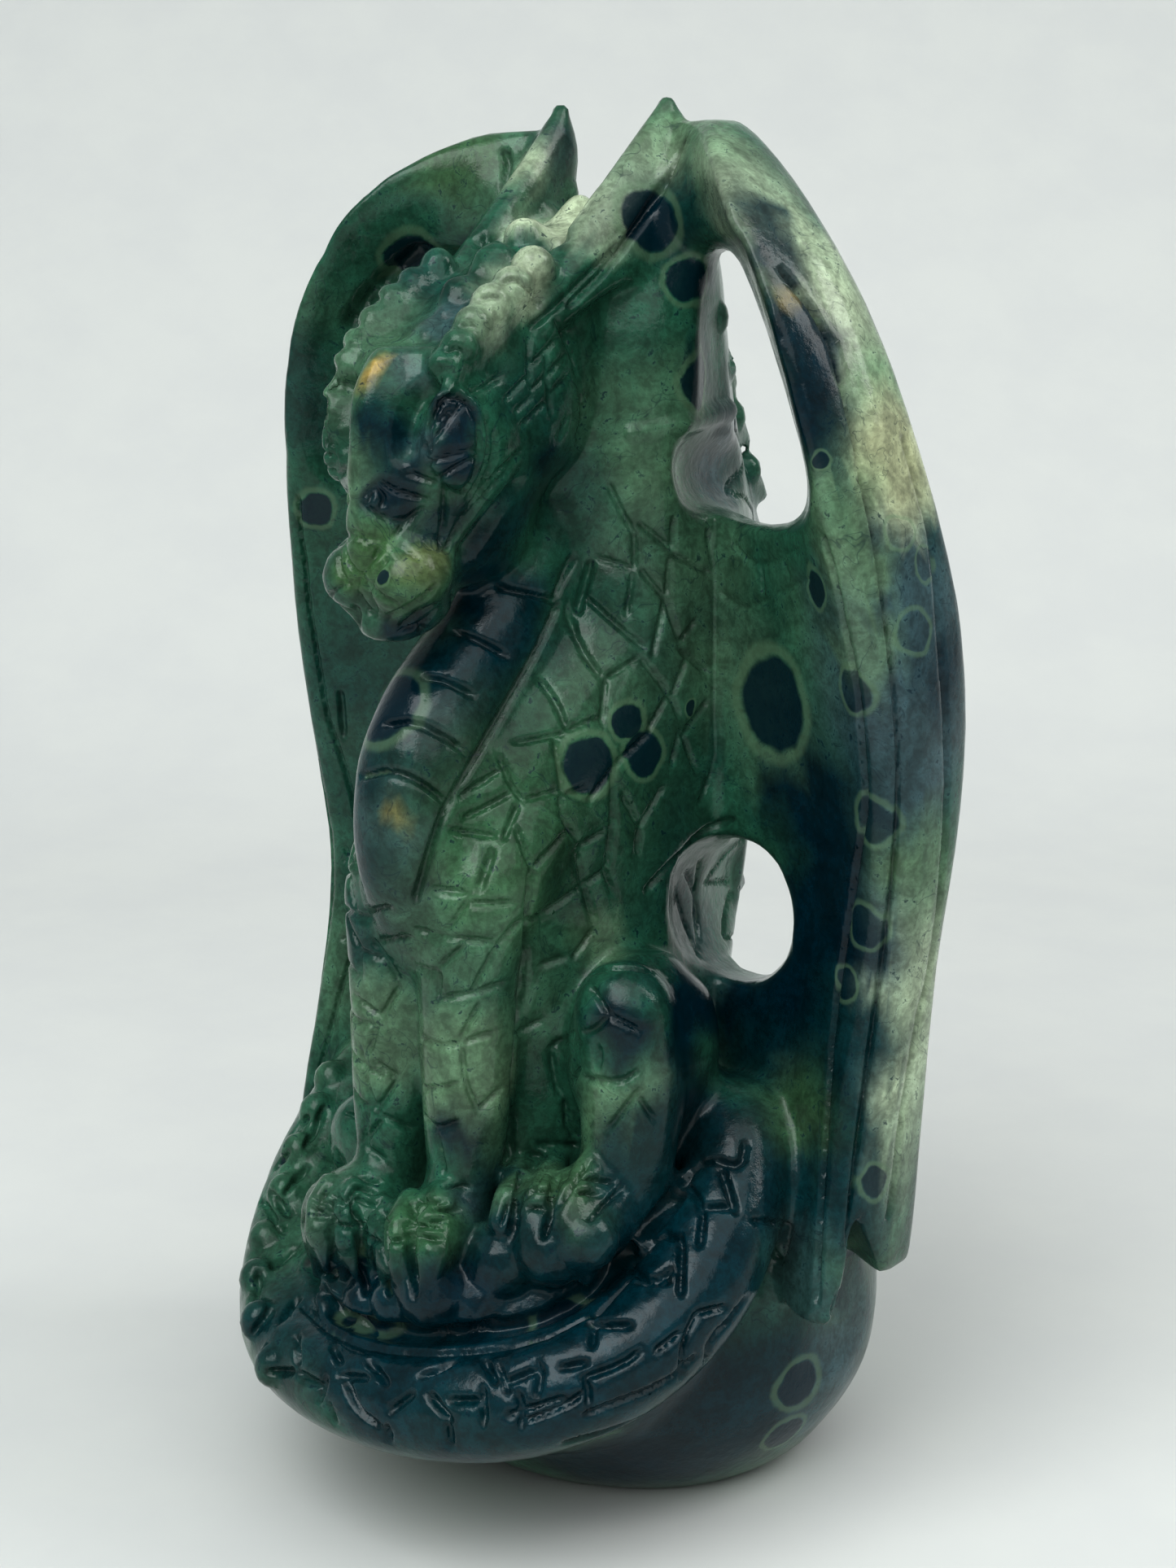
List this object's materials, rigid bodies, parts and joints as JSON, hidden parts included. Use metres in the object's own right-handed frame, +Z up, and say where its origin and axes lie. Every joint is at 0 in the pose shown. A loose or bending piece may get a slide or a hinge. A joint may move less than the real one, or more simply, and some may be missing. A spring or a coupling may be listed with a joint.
{
  "type": "dragon carving",
  "caption": "Seated winged dragon carved from one block of green orbicular jasper, wings standing behind it with openings through them, tail curled round a boulder",
  "frame": {"origin": "on the flat underside of the boulder, below the body", "axes": "+Z up, the dragon faces -Y, its left side is +X"},
  "size_m": [0.0958, 0.085, 0.165],
  "materials": {
    "green_jasper": "polished"
  },
  "bodies": {
    "root": {"dragon_carving": "green_jasper"}
  },
  "joints": []
}
